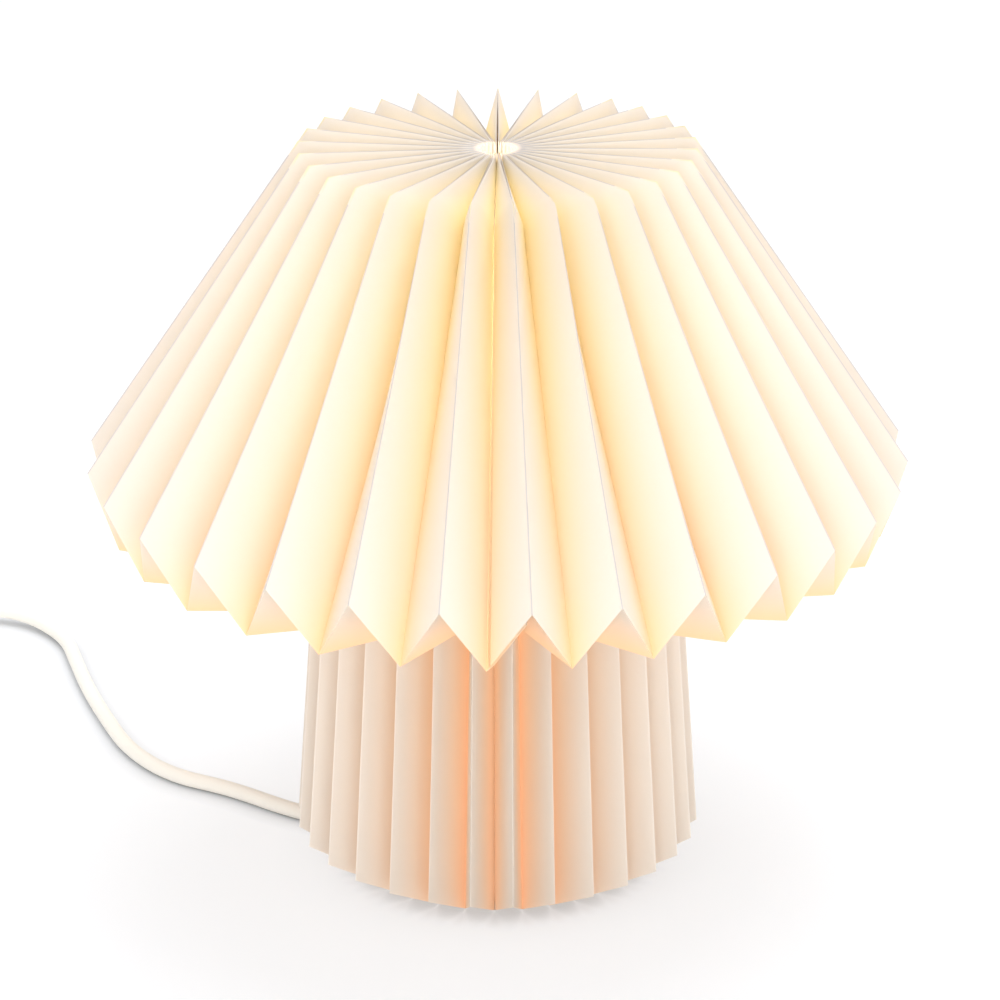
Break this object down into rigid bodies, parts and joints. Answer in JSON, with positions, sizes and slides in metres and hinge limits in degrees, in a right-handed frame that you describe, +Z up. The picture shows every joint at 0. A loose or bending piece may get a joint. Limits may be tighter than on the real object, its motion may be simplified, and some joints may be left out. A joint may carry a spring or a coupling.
{
  "type": "pleated paper table lamp",
  "caption": "Table lamp with a reverse-folded pleated paper cap and column that lifts off a weighted base with stem, lampholder, bulb, corded switch and plug.",
  "frame": {"origin": "middle of the lamp on the surface that it stands on", "axes": "+Z up along the stem, -Y towards the front of the lamp, +X to the right seen from the front"},
  "size_m": [0.5084, 0.372, 0.2833],
  "materials": {
    "paper": "pleated uncoated paper, warm white",
    "foam": "closed-cell foam",
    "cover_metal": "powder coat, satin",
    "weight_steel": "raw",
    "zinc_steel": "zinc plated",
    "wire_steel": "white coated wire",
    "holder_plastic": "moulded thermoset, white",
    "insulator_ceramic": "unglazed steatite",
    "contact_brass": "stamped",
    "bulb_opal": "opal, lit",
    "bulb_plastic": "moulded",
    "cap_nickel": "nickel plated",
    "cap_glass": "black glass",
    "cord_pvc": "soft PVC sheath, off-white",
    "fitting_plastic": "moulded, off-white",
    "tie_plastic": "moulded strip"
  },
  "bodies": {
    "base": {"base_pad": "foam", "base_cover": "cover_metal", "base_weight": "weight_steel", "stem_washer": "zinc_steel", "stem_tube": "zinc_steel", "stem_nuts": "zinc_steel", "waist_carrier": "wire_steel", "holder_cap": "holder_plastic", "holder_skirt": "holder_plastic", "holder_insulator": "insulator_ceramic", "holder_terminal_screws": "zinc_steel", "holder_screw_contact": "contact_brass", "holder_centre_contact": "contact_brass", "strain_relief": "fitting_plastic", "switch_lower": "fitting_plastic", "switch_upper": "fitting_plastic", "switch_screws": "zinc_steel", "plug_body": "fitting_plastic", "plug_pins": "cap_nickel", "cord_coil": "cord_pvc", "coil_tie": "tie_plastic", "supply_cord": "cord_pvc", "switch_cord": "cord_pvc", "plug_cord": "cord_pvc", "inner_lead": "cord_pvc"},
    "paper_shade": {"paper_right": "paper", "paper_left": "paper"},
    "bulb_travel": {"bulb_tip": "cap_nickel"},
    "bulb": {"bulb_insulator": "cap_glass", "bulb_cap": "cap_nickel", "bulb_collar": "bulb_plastic", "bulb_envelope": "bulb_opal"},
    "rocker": {"switch_rocker": "fitting_plastic"}
  },
  "joints": [
    {"name": "shade_lift", "type": "slide", "parent": "base", "child": "paper_shade", "axis": [0, 0, 1], "range_m": [0, 0.25]},
    {"name": "bulb_lift", "type": "slide", "parent": "base", "child": "bulb_travel", "axis": [0, 0, 1], "range_m": [0, 0.0113]},
    {"name": "bulb_turn", "type": "hinge", "parent": "bulb_travel", "child": "bulb", "pos_m": [0, 0, 0.16], "axis": [0, 0, 1], "range_deg": [0, 1440]},
    {"name": "rocker_tip", "type": "hinge", "parent": "base", "child": "rocker", "pos_m": [-0.2675, 0.209, 0.0127], "axis": [0, 1, 0], "range_deg": [0, 16]}
  ],
  "couplings": [
    {"joint": "bulb_lift", "follows": "bulb_turn", "m_per_rad": 0.00044882}
  ]
}
